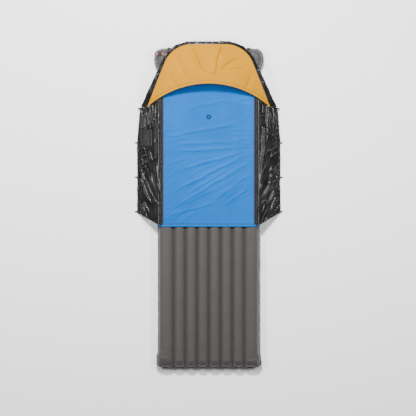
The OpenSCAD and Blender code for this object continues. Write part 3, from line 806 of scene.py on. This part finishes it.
def make_sheet():
    """The blue cloth over the mattress, its foot hem and its stitched edges."""
    cloth = sizes().cloth
    top_y = SHEET_HEAD
    hem_y = HEM_HIGH.y

    def place(u, v):
        return sheet_point((2 * u - 1) * CLOTH_HALF, hem_y + (top_y - hem_y) * v)

    panel = add_piece(
        "blue_panel", cloth_grid(150, 190, place), "panel", "bed",
        ["sheet_panel", "sheet_side_left", "sheet_side_right"], cloth)

    def hem_place(u, v):
        x, y, z = sheet_point((2 * u - 1) * CLOTH_HALF, FOOT_Y + (hem_y - FOOT_Y) * v)
        across = (2 * u - 1) * CLOTH_HALF
        round_edge = math.sqrt(max(0.0, 1 - (2 * v - 1) ** 2))
        lift = 0.0016 * round_edge + 0.0008 * waves(across / 0.012, y / 0.02, 57)
        out = Vector((0, 0, 1))
        if abs(across) > WRAP_X:
            angle = (abs(across) - WRAP_X) / WRAP_R
            out = Vector((math.copysign(math.sin(angle), across), 0, math.cos(angle)))
        spot = Vector((x, y, z)) + out * (lift - 0.0004)
        spot.z = max(GROUND + 0.0002, spot.z)
        return spot

    hem = add_piece(
        "blue_foot_hem", cloth_grid(300, 10, hem_place), "hem", "bed", ["sheet_foot_hem"],
        cloth)

    bm = bmesh.new()
    up = Vector((0, 0, 1))
    for x in (-PANEL_HALF + 0.006, -PANEL_HALF + 0.010, PANEL_HALF - 0.006, PANEL_HALF - 0.010):
        add_stitches(
            bm, lambda d, x=x: (Vector(sheet_point(x, FOOT_Y + 0.02 + d)), up), top_y - FOOT_Y - 0.03)
    for y in (HEM_HIGH.y + 0.002, HEM_HIGH.y + 0.006):
        add_stitches(
            bm, lambda d, y=y: (Vector(sheet_point(-PANEL_HALF + d, y)), up), 2 * PANEL_HALF)
    add_piece("blue_stitches", bm, "panel_thread", "bed", [], smooth_faces=False)

    def mark_place(u, v):
        turn = 2 * math.pi * u
        r = EMBLEM_R * (0.62 + 0.38 * v)
        x, y, z = sheet_point(r * math.sin(turn), EMBLEM_Y + r * math.cos(turn))
        return (x, y, z + PRINT_LIFT)

    bm = cloth_grid(64, 3, mark_place)
    bar_half = EMBLEM_R * 0.3

    def bar_place(u, v):
        x, y, z = sheet_point(bar_half * (2 * u - 1), EMBLEM_Y + bar_half * 0.6 * (2 * v - 1))
        return (x, y, z + PRINT_LIFT)

    join_mesh(bm, cloth_grid(6, 4, bar_place))
    add_piece("emblem_mark", bm, "ink", "bed", ["sheet_emblem"], PRINT_T)


# The tapes go on under the wings and under the hood
TAPE_UNDER = 0.0035
TAPE_PAST = 0.050


def make_seam_tapes():
    """The brown tape along each side seam."""
    low, high = TAPE_LOW, TAPE_HIGH
    width = high.x + TAPE_UNDER - low.x
    length = high.y + TAPE_PAST - low.y
    for name, side in (("left", -1), ("right", 1)):
        def place(u, v, side=side):
            y = low.y + length * v
            x = low.x + width * u + 0.0006 * waves(y / 0.05, side, 61)
            z = sheet_point(x, y)[2] + 0.0012 + 0.0003 * waves(y / 0.02, u * 2, 63)
            return (side * x, y, z)

        tape = add_piece(
            "seam_tape_strip_" + name, cloth_grid(6, 240, place), "tape", "bed",
            ["seam_tape_" + name], TAPE_T)


# The band goes on a little above its seam with the blue cloth
BAND_PAST = 0.003


def make_head_wrap():
    """The black nylon band round the mattress's head end."""
    tall = WRAP_HIGH.z + BAND_PAST - WRAP_LOW.z

    def place(u, v):
        x = (2 * u - 1) * WRAP_HIGH.x
        z = WRAP_LOW.z + tall * v
        scallop = 0.006 * groove_depth(x)
        bulge = 0.0035 * math.sin(math.pi * v) + 0.0022 * creases(x / 0.020, z / 0.05, 67)
        return (x, WRAP_HIGH.y - 0.0005 - scallop + bulge - 0.006 * smooth(v, 0.75, 1.0), z)

    bm = cloth_grid(230, 18, place)
    bm.normal_update()
    if sum(face.normal.y * face.calc_area() for face in bm.faces) < 0:
        bmesh.ops.reverse_faces(bm, faces=bm.faces)
    band = add_piece("head_band", bm, "nylon", "bed", ["sheet_head_wrap"], NYLON_T)


# ---- Hood ----

def dome_z(x, y):
    """Height of the hood's dome."""
    return DOME_Z + math.sqrt(max(0.0, DOME_R ** 2 - x ** 2 - (y - DOME_Y) ** 2))


def outline_half(grow, tip_grow):
    """Points of the hood's right-hand outline from the tip to the middle of the head."""
    r = CORNER_R + grow
    side = Vector((CORNER_X + r * math.cos(CORNER_A), CORNER_Y + r * math.sin(CORNER_A)))
    tip = Vector((TIP_X + tip_grow, TIP_Y))
    points = [tip.lerp(side, k / 20) for k in range(20)]
    for k in range(24):
        a = CORNER_A + (math.pi / 2 - CORNER_A) * k / 24
        points.append(Vector((CORNER_X + r * math.cos(a), CORNER_Y + r * math.sin(a))))
    points.append(Vector((CORNER_X, CORNER_Y + r)))
    points.append(Vector((0.0, CORNER_Y + r)))
    return points


class Outline:
    """The hood's outline from the left tip over the head to the right tip, by share of its length."""

    def __init__(self, grow, tip_grow):
        half = outline_half(grow, tip_grow)
        left = [Vector((-p.x, p.y)) for p in half]
        self.points = left + list(reversed(half[:-1]))
        self.marks = [0.0]
        for a, b in zip(self.points, self.points[1:]):
            self.marks.append(self.marks[-1] + (b - a).length)

    def at(self, share):
        goal = min(max(share, 0.0), 1.0) * self.marks[-1]
        for i in range(1, len(self.marks)):
            if goal <= self.marks[i] or i == len(self.marks) - 1:
                span = self.marks[i] - self.marks[i - 1]
                share = (goal - self.marks[i - 1]) / span if span else 0
                return self.points[i - 1].lerp(self.points[i], share)


YELLOW_EDGE = Outline(-0.004, 0.0)
WALL_EDGE = Outline(WALL_W, WALL_TIP)


def brim_at(share):
    """A point of the brim's arch, from the left tip to the right one."""
    reach = math.asin(TIP_X / BRIM_R)
    a = (2 * share - 1) * reach
    return Vector((BRIM_R * math.sin(a), BRIM_Y + BRIM_R * math.cos(a)))


HOOD_FOLDS = (
    (-0.113, 0.930, -0.050, 0.790, 11, -4.5), (-0.088, 0.925, -0.030, 0.800, 10, 3.0),
    (0.080, 0.930, 0.040, 0.800, 9, -5.0), (0.060, 0.925, 0.022, 0.760, 9, 3.0),
    (0.045, 0.810, 0.034, 0.735, 8, -3.5), (0.175, 0.860, 0.070, 0.795, 12, -4.0),
    (0.210, 0.800, 0.075, 0.792, 10, -2.5), (-0.190, 0.860, -0.130, 0.740, 16, -3.0),
    (-0.060, 0.785, 0.030, 0.745, 12, -2.5), (-0.235, 0.760, -0.180, 0.680, 12, -2.0),
    (0.250, 0.760, 0.215, 0.680, 12, -2.2), (0.060, 0.930, 0.095, 0.860, 8, -3.0),
)


def hood_folds(x, y):
    """Soft folds that run from the brim to the head."""
    head = smooth(y, 0.80, 0.93)
    gathers = creases(x / 0.030, y / 0.2, 75) - 0.3
    height = 1.9 * fold_height(x, y, HOOD_FOLDS, 71, 0.010)
    return height + 0.0022 * waves(x / 0.11, y / 0.09, 73) + 0.0010 * gathers * head


def hood_point(share, depth, drop=0.0):
    """A point of the yellow cloth: depth 0 is at the brim and 1 at the outer edge."""
    front = brim_at(share)
    back = YELLOW_EDGE.at(share)
    spot = front.lerp(back, depth)
    edge = smooth(depth, 0.0, 0.10) * (1 - smooth(depth, 0.88, 1.0))
    tips = smooth(min(share, 1 - share), 0.0, 0.16)
    z = dome_z(spot.x, spot.y) + hood_folds(spot.x, spot.y) * (0.25 + 0.75 * edge) * (0.3 + 0.7 * tips)
    ridge = -0.0016 * math.exp(-(((spot - front).length - 0.013) / 0.003) ** 2)
    return Vector((spot.x, spot.y, z + ridge - drop))


# The length of the brim's stitched line, how far the lining lies below the cover, and the radius of the
# rolled brim
BRIM_LEN = 0.76
LINING_DROP = 0.0040
BRIM_ROLL_R = 0.0032
# The radius of the black wall's sewn foot edge
WALL_HEM_R = 0.0022


def make_hood():
    """The yellow dome, its lining, its rolled brim and its stitches."""
    cover = add_piece(
        "hood_cover", cloth_grid(180, 90, hood_point), "hood", "hood", ["hood_outer", "hood_fill"],
        NYLON_T)

    bm = cloth_grid(120, 50, lambda u, v: hood_point(u, v, LINING_DROP))
    bmesh.ops.reverse_faces(bm, faces=bm.faces)
    liner = add_piece("hood_liner", bm, "lining", "hood", ["hood_lining"], LINING_T)

    steps = 150
    roll = Vector((0, 0.002, -0.0022))
    points = [hood_point(i / steps, 0.0) + roll for i in range(steps + 1)]
    bm = tube_along(points, BRIM_ROLL_R, 10, lambda i: 1 + 0.12 * waves(i / 1.7, 0, 79))
    add_piece("rolled_brim", bm, "hood", "hood", ["brim_binding", "brim_cord_ring"])

    bm = bmesh.new()
    for depth in (0.012, 0.016):
        def place(d, depth=depth):
            share = 0.03 + 0.94 * d / BRIM_LEN
            front = brim_at(share)
            back = YELLOW_EDGE.at(share)
            span = max(0.02, (back - front).length)
            spot = hood_point(share, depth / span)
            return spot, Vector((spot.x * 0.9, (spot.y - DOME_Y), DOME_R)).normalized()
        add_stitches(bm, place, BRIM_LEN)
    add_piece("hood_stitches", bm, "hood_thread", "hood", [], smooth_faces=False)


def mattress_top(x, y):
    """Height of what lies under the hood's edge."""
    if abs(x) > BODY_HALF + 0.012 or abs(y) > HALF_LEN + 0.004:
        return 0.0
    round_x = max(0.0, abs(x) - (BODY_HALF + 0.006 - TUBE_R)) / TUBE_R
    round_y = max(0.0, abs(y) - (HALF_LEN - TUBE_R)) / TUBE_R
    return TUBE_MID_Z + TUBE_R * math.sqrt(max(0.0, 1 - min(1.0, round_x ** 2 + round_y ** 2)))


# At the head end the wall's foot hangs beside the head band
HEAD_FOOT_Z = 0.048


def wall_point(share, depth):
    """A point of the black wall: depth 0 is under the yellow edge, 0.4 at its widest, 1 at its foot."""
    inner = YELLOW_EDGE.at(share)
    outer = WALL_EDGE.at(share)
    width = outer - inner
    if depth < 0.4:
        t = depth / 0.4
        spot = inner - width * 0.15 + width * 1.15 * math.sin(t * math.pi / 2)
        z = dome_z(spot.x, spot.y) - 0.0016 * (1 - t)
    else:
        t = (depth - 0.4) / 0.6
        spot = outer - width * 0.12 * t
        top = dome_z(outer.x, outer.y)
        bottom = max(0.006, top - 0.036, mattress_top(spot.x, spot.y) + 0.0030)
        at_head = smooth(outer.y, 0.915, 0.945)
        bottom += (HEAD_FOOT_Z - bottom) * at_head
        spot.y += (WRAP_HIGH.y + 0.007 - spot.y) * t * at_head
        z = top + (min(bottom, top) - top) * t
    out = width.normalized()
    crease = creases(share * 34, depth * 1.4, 83) - 0.4
    fine = waves(share * 90, depth * 4, 85)
    push = (0.0040 * crease + 0.0015 * fine) * smooth(depth, 0.10, 0.40)
    spot = spot + out * push
    z += (0.0030 * crease + 0.0012 * fine) * smooth(depth, 0.05, 0.35)
    return Vector((spot.x, spot.y, max(0.004, z)))


def bend_at_head(obj):
    """Applies a piece's modifiers to its mesh and bakes its place into the mesh."""
    graph = bpy.context.evaluated_depsgraph_get()
    mesh = bpy.data.meshes.new_from_object(obj.evaluated_get(graph))
    obj.modifiers.clear()
    obj.data = mesh
    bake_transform(obj)


def make_hood_wall():
    """The crinkled black wall round the hood and its sewn foot edge."""
    wall = make_object("hood_side_wall", cloth_grid(360, 22, wall_point), [MATERIALS["nylon"]])
    thicken(wall, NYLON_T)
    bend_at_head(wall)
    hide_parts("hood_wall")
    points = [wall_point(i / 260, 1.0) for i in range(261)]
    bm = tube_along(points, WALL_HEM_R, 8, lambda i: 1 + 0.2 * waves(i / 2.0, 0, 87))
    foot = make_object("hood_wall_hem", bm, [MATERIALS["edge"]])
    bend_at_head(foot)


# ---- Wings ----

# Where along the bed the crinkles fade out and come back: at the pocket and at the cord lock
PATCH_CALM = (0.350, 0.362, 0.444, 0.456)
LOCK_CALM = (0.455, 0.475, 0.540, 0.555)


def wing_calm(side, s, y):
    """How far the crinkles are held flat, from 0 to 1, where hard parts lie on a wing."""
    down = s - WING_FLAT
    calm = 0.7 * (1 - smooth(down, 0.004, 0.022)) if side > 0 else 0.0
    if side < 0:
        along = window(y, ZIP_Y[0] - 0.010, ZIP_Y[0], ZIP_Y[1], ZIP_Y[1] + 0.010)
        calm = along * (1 - smooth(abs(down - ZIP_S), 0.007, 0.016))
        calm = max(calm, 0.30 * window(y, *PATCH_CALM) * smooth(down, 0.042, 0.050))
    else:
        calm = max(calm, window(y, *LOCK_CALM) * (1 - smooth(down, 0.030, 0.048)))
    beside = min(abs(y - hook) for hook in HOOK_YS[side])
    inside = wing_reach(y) - s
    calm = max(calm, (1 - smooth(beside, 0.007, 0.016)) * (1 - smooth(inside, 0.016, 0.028)))
    return calm


# Folds in plan: distance from the middle of the bed and y, from one end to the other
WING_FOLDS = {
    -1: (
        (0.376, 0.545, 0.390, 0.448, 6, 5.0), (0.359, 0.550, 0.371, 0.450, 6, 4.5),
        (0.336, 0.555, 0.344, 0.455, 7, 5.5), (0.312, 0.550, 0.317, 0.500, 6, 3.5),
        (0.288, 0.590, 0.278, 0.520, 6, 3.5), (0.308, 0.265, 0.278, 0.090, 13, 6.0),
        (0.335, 0.230, 0.300, 0.060, 9, 3.5), (0.395, 0.190, 0.332, 0.025, 6, 4.5),
        (0.382, 0.200, 0.314, 0.055, 6, 3.5), (0.385, 0.288, 0.356, 0.304, 5, 4.5),
        (0.385, 0.250, 0.354, 0.272, 5, 5.0), (0.382, 0.222, 0.366, 0.238, 4, 3.5),
        (0.398, 0.335, 0.370, 0.345, 5, 3.5), (0.316, 0.050, 0.276, 0.015, 6, 3.5),
        (0.370, 0.030, 0.345, -0.020, 6, 3.5), (0.385, 0.020, 0.365, -0.015, 5, 3.0),
        (0.340, 0.330, 0.320, 0.270, 8, 4.0),
    ),
    1: (
        (0.318, 0.555, 0.291, 0.085, 7, 6.0), (0.352, 0.555, 0.378, 0.465, 6, 5.0),
        (0.341, 0.550, 0.341, 0.440, 7, 4.0), (0.377, 0.550, 0.391, 0.495, 5, 4.0),
        (0.346, 0.325, 0.390, 0.364, 6, 5.0), (0.357, 0.300, 0.380, 0.318, 5, 4.5),
        (0.358, 0.215, 0.386, 0.246, 5, 5.0), (0.361, 0.180, 0.394, 0.224, 5, 5.0),
        (0.350, 0.145, 0.394, 0.172, 5, 4.5), (0.362, 0.105, 0.394, 0.135, 5, 3.5),
        (0.291, 0.045, 0.372, 0.150, 8, 5.0), (0.276, -0.020, 0.337, 0.060, 8, 4.0),
        (0.325, 0.010, 0.390, 0.100, 7, 3.5), (0.310, 0.210, 0.345, 0.330, 10, 3.0),
        (0.365, 0.430, 0.392, 0.400, 6, 4.0), (0.350, -0.015, 0.385, 0.040, 6, 3.0),
    ),
}


def wing_reach(y):
    """Width of a wing along its fabric: it gets narrower towards its head corner."""
    out = WING_OUT - WING_TAPER * max(0.0, y - TAPER_Y) / (WING_TOP_Y - TAPER_Y)
    return WING_FLAT + (out - SLOPE_X) / math.cos(SLOPE)


def wing_relief(side, s, x, y):
    """Height of a wing's folds and crinkles above its plain surface."""
    upper = smooth(y, 0.40, 0.52)
    outer = smooth(s, 0.075, 0.115)
    warp = 0.25 * waves(s / 0.06, y / 0.09, 91 + side)
    swell = 0.0030 * waves(s / 0.050 + side, (y + 0.4 * s) / 0.14, 90 + side)
    lean = s - 0.45 * y * (1 - upper)
    broad = creases(lean / 0.036 + warp, (y + 0.45 * s) / 0.24, 93 + side) - 0.35
    turn = 0.8 * s - side * 0.9 * y
    fine = creases(turn / 0.017 + warp, (0.9 * s + side * 0.8 * y) / 0.060, 95 + side) - 0.35
    streaks = creases(s / 0.020 + warp, y / 0.18, 97 + side) - 0.4
    height = swell + sizes().crinkle * (
        0.45 * broad + 0.45 * fine * outer * (1 - upper) + 0.8 * streaks * upper)
    height += 0.75 * fold_height(x, y, WING_FOLDS[side], 98 + side, 0.008)
    rim = math.exp(-abs(s - wing_reach(y)) / 0.012) + math.exp(-abs(y - wing_edges(s)[0]) / 0.014)
    return height + 0.0020 * min(1.0, rim) * waves(y / 0.013 + s / 0.013, s / 0.02, 99 + side)


def wing_point(side, s, y, lift=0.0):
    """A point of a wing, s metres from its seam: flat on the bed, then down to the ground."""
    down = s - WING_FLAT
    bend = 0.004
    if down < -bend:
        x, z, tilt = WING_IN + s, WING_TOP_Z, 0.0
    elif down > bend:
        x, z, tilt = SLOPE_X + down * math.cos(SLOPE), WING_TOP_Z - down * math.sin(SLOPE), SLOPE
    else:
        share = (down + bend) / (2 * bend)
        tilt = SLOPE * share
        x = WING_IN + WING_FLAT - bend + 2 * bend * share * math.cos(tilt / 2)
        z = WING_TOP_Z - 2 * bend * share * math.sin(tilt / 2)
    height = wing_relief(side, s, x, y) * (1 - wing_calm(side, s, y)) * smooth(s, 0.002, 0.020)
    height = max(height, -0.0003 - 0.006 * smooth(s, 0.018, 0.045))
    x += math.sin(tilt) * (height + lift)
    z += math.cos(tilt) * (height + lift)
    return Vector((side * x, y, max(GROUND + 0.0004, z)))


def wing_edges(s):
    """Lowest and highest y of a wing at a distance from its seam."""
    share = s / (WING_FLAT + SLOPE_LEN)
    foot = WING_FOOT_IN + (WING_FOOT_OUT - WING_FOOT_IN) * share
    x = WING_IN + (s if s < WING_FLAT else WING_FLAT + (s - WING_FLAT) * math.cos(SLOPE))
    arch = BRIM_Y + math.sqrt(max(0.0, (BRIM_R - 0.003) ** 2 - x ** 2)) if x < TIP_X else WING_TOP_Y
    return foot, max(arch, WING_TOP_Y)


# Radii of a wing's gathered foot hem and of its bound edge
WING_HEM_R = 0.0030
WING_EDGE_R = 0.0024
# The stitches' distance from a wing's outer edge and from its seam
EDGE_STITCH = 0.009
SEAM_STITCH = 0.004


def make_wing(name, side):
    """One wing's crinkled cloth, its gathered foot hem, its bound edge and its stitches."""
    reach = WING_FLAT + SLOPE_LEN

    def place(u, v):
        s = u * reach
        foot, head = wing_edges(s)
        y = foot + (head - foot) * v
        y += 0.0025 * waves(s / 0.014, v * 3, 101 + side) * (1 - smooth(v, 0.0, 0.06))
        spot = wing_point(side, s * wing_reach(y) / reach, y)
        outer = smooth(u, 0.93, 1.0)
        spot.x += side * 0.0022 * outer * waves(y / 0.05, 0.3, 103 + side)
        return spot

    body = "wing_" + name
    wing = add_piece(
        "wing_cloth_" + name, cloth_grid(84, 320, place), "nylon", body, [body + "_panel"],
        WING_T)

    foot_steps, side_steps = 90, 260
    points = [place(i / foot_steps, 0.0) for i in range(foot_steps + 1)]
    bm = tube_along(points, WING_HEM_R, 8, lambda i: 1 + 0.35 * waves(i / 1.8, 0, 105 + side))
    add_piece("wing_gathered_hem_" + name, bm, "edge", body, [body + "_foot_hem"])
    points = [place(1.0, i / side_steps) + Vector((0, 0, 0.0006)) for i in range(side_steps + 1)]
    bm = tube_along(points, WING_EDGE_R, 8, lambda i: 1 + 0.2 * waves(i / 2.2, 0, 107 + side))
    add_piece("wing_bound_edge_" + name, bm, "edge", body, [body + "_edge"])

    bm = bmesh.new()
    up = Vector((side * math.sin(SLOPE), 0, math.cos(SLOPE)))
    low, high = wing_edges(reach - EDGE_STITCH)

    def edge_place(d):
        y = low + 0.01 + d
        return wing_point(side, wing_reach(y) - EDGE_STITCH, y), up

    add_stitches(bm, edge_place, high - low - 0.02)
    low, high = wing_edges(SEAM_STITCH)

    def seam_place(d):
        return wing_point(side, SEAM_STITCH, low + 0.01 + d), Vector((0, 0, 1))

    add_stitches(bm, seam_place, high - low - 0.02)
    add_piece(
        "wing_stitches_" + name, bm, "black_thread", body, [], smooth_faces=False)


# The patch's place down the slope and its width; the zip's tape, its free ends and its teeth
PATCH_DOWN = 0.048
PATCH_W = 0.078
ZIP_W = 0.012
ZIP_END = 0.005
TOOTH_PITCH = 0.0022
TOOTH = (0.0022, 0.0008, 0.0008)


def make_pocket():
    """The pocket's smooth patch, and the zip's tape and teeth, on the left wing."""
    side = -1
    s_low = WING_FLAT + PATCH_DOWN
    s_high = s_low + PATCH_W
    low, high = PATCH_LOW.y, PATCH_HIGH.y

    def place(u, v):
        return wing_point(side, s_low + (s_high - s_low) * u, low + (high - low) * v, 0.0012)

    patch = add_piece(
        "pocket_cloth", cloth_grid(30, 34, place), "patch", "wing_left", ["pocket_patch"],
        NYLON_T)
    bm = bmesh.new()
    up = Vector((side * math.sin(SLOPE), 0, math.cos(SLOPE)))
    for s in (s_low + 0.003, s_high - 0.003):
        add_stitches(
            bm, lambda d, s=s: (wing_point(side, s, low + 0.003 + d, 0.0014), up), high - low - 0.006)
    for y in (low + 0.003, high - 0.003):
        add_stitches(
            bm, lambda d, y=y: (wing_point(side, s_low + 0.003 + d, y, 0.0014), up),
            s_high - s_low - 0.006)
    add_piece(
        "pocket_stitches", bm, "black_thread", "wing_left", [], smooth_faces=False)

    middle = WING_FLAT + ZIP_S

    def tape_place(u, v):
        s = middle + ZIP_W * (u - 0.5)
        lift = 0.0006 + 0.0005 * abs(2 * u - 1)
        return wing_point(side, s, ZIP_Y[0] + (ZIP_Y[1] - ZIP_Y[0]) * v, lift)

    tape = add_piece(
        "zip_tape_strip", cloth_grid(8, 110, tape_place), "edge", "wing_left", ["zip_tape"],
        ZIP_T)
    bm = bmesh.new()
    count = int((ZIP_Y[1] - ZIP_Y[0] - 2 * ZIP_END) / TOOTH_PITCH)
    turn = Matrix.Rotation(side * SLOPE, 4, "Y")
    for i in range(count):
        for half in (-1, 1):
            y = ZIP_Y[0] + ZIP_END + TOOTH_PITCH * (i + 0.25 * half)
            spot = wing_point(side, middle + half * 0.0006, y, 0.0008)
            bmesh.ops.create_cube(bm, size=1.0, matrix=Matrix.Translation(spot) @ turn
                                  @ Matrix.Diagonal((*TOOTH, 1)))
    add_piece("zip_teeth", bm, "plastic", "wing_left", [], smooth_faces=False)


# ---- Operators ----

class BED_OT_stage(bpy.types.Operator):
    """Adds the camera, the lights and the pale floor"""
    bl_idname = "bed.stage"
    bl_label = "Stage"

    def execute(self, context):
        make_stage()
        return {"FINISHED"}


class BED_OT_finishes(bpy.types.Operator):
    """Makes the finishes and dresses the hard parts with them"""
    bl_idname = "bed.finishes"
    bl_label = "Finishes"

    def execute(self, context):
        make_materials()
        dress_frame()
        return {"FINISHED"}


class BED_OT_cord(bpy.types.Operator):
    """Builds the draw cord of the right wing"""
    bl_idname = "bed.cord"
    bl_label = "Draw cord"

    def execute(self, context):
        make_draw_cord()
        return {"FINISHED"}


class BED_OT_mattress(bpy.types.Operator):
    """Builds the inflated mattress and its welded edge"""
    bl_idname = "bed.mattress"
    bl_label = "Mattress"

    def execute(self, context):
        make_mattress()
        return {"FINISHED"}


class BED_OT_sheet(bpy.types.Operator):
    """Builds the blue cloth, its hem, its seam tapes and the head band"""
    bl_idname = "bed.sheet"
    bl_label = "Sheet"

    def execute(self, context):
        make_sheet()
        make_seam_tapes()
        make_head_wrap()
        return {"FINISHED"}


class BED_OT_hood(bpy.types.Operator):
    """Builds the yellow hood, its lining, brim and black wall"""
    bl_idname = "bed.hood"
    bl_label = "Hood"

    def execute(self, context):
        make_hood()
        make_hood_wall()
        return {"FINISHED"}


class BED_OT_wings(bpy.types.Operator):
    """Builds both crinkled wings with their hems"""
    bl_idname = "bed.wings"
    bl_label = "Wings"

    def execute(self, context):
        make_wing("left", -1)
        make_wing("right", 1)
        return {"FINISHED"}


class BED_OT_pocket(bpy.types.Operator):
    """Builds the pocket's patch and zip on the left wing"""
    bl_idname = "bed.pocket"
    bl_label = "Pocket"

    def execute(self, context):
        make_pocket()
        return {"FINISHED"}


class BED_PT_panel(bpy.types.Panel):
    """Lists the pieces of the bed"""
    bl_idname = "BED_PT_panel"
    bl_label = "Hooded bed sheet"
    bl_space_type = "VIEW_3D"
    bl_region_type = "UI"
    bl_category = "Bed"

    def draw(self, context):
        for operator in PIECES:
            self.layout.operator(operator.bl_idname)
        for group in (context.scene.bed_colours, context.scene.bed_sizes):
            for name in group.__annotations__:
                self.layout.prop(group, name)


PIECES = (
    BED_OT_stage, BED_OT_finishes, BED_OT_cord, BED_OT_mattress, BED_OT_sheet, BED_OT_hood,
    BED_OT_wings, BED_OT_pocket,
)
CLASSES = (BedColours, BedSizes, *PIECES, BED_PT_panel)


def register():
    for cls in CLASSES:
        bpy.utils.register_class(cls)
    bpy.types.Scene.bed_colours = PointerProperty(type=BedColours)
    bpy.types.Scene.bed_sizes = PointerProperty(type=BedSizes)


def unregister():
    del bpy.types.Scene.bed_sizes
    del bpy.types.Scene.bed_colours
    for cls in reversed(CLASSES):
        bpy.utils.unregister_class(cls)


def main():
    register()
    for operator in PIECES:
        group, name = operator.bl_idname.split(".")
        getattr(getattr(bpy.ops, group), name)()


if __name__ == "__main__":
    main()
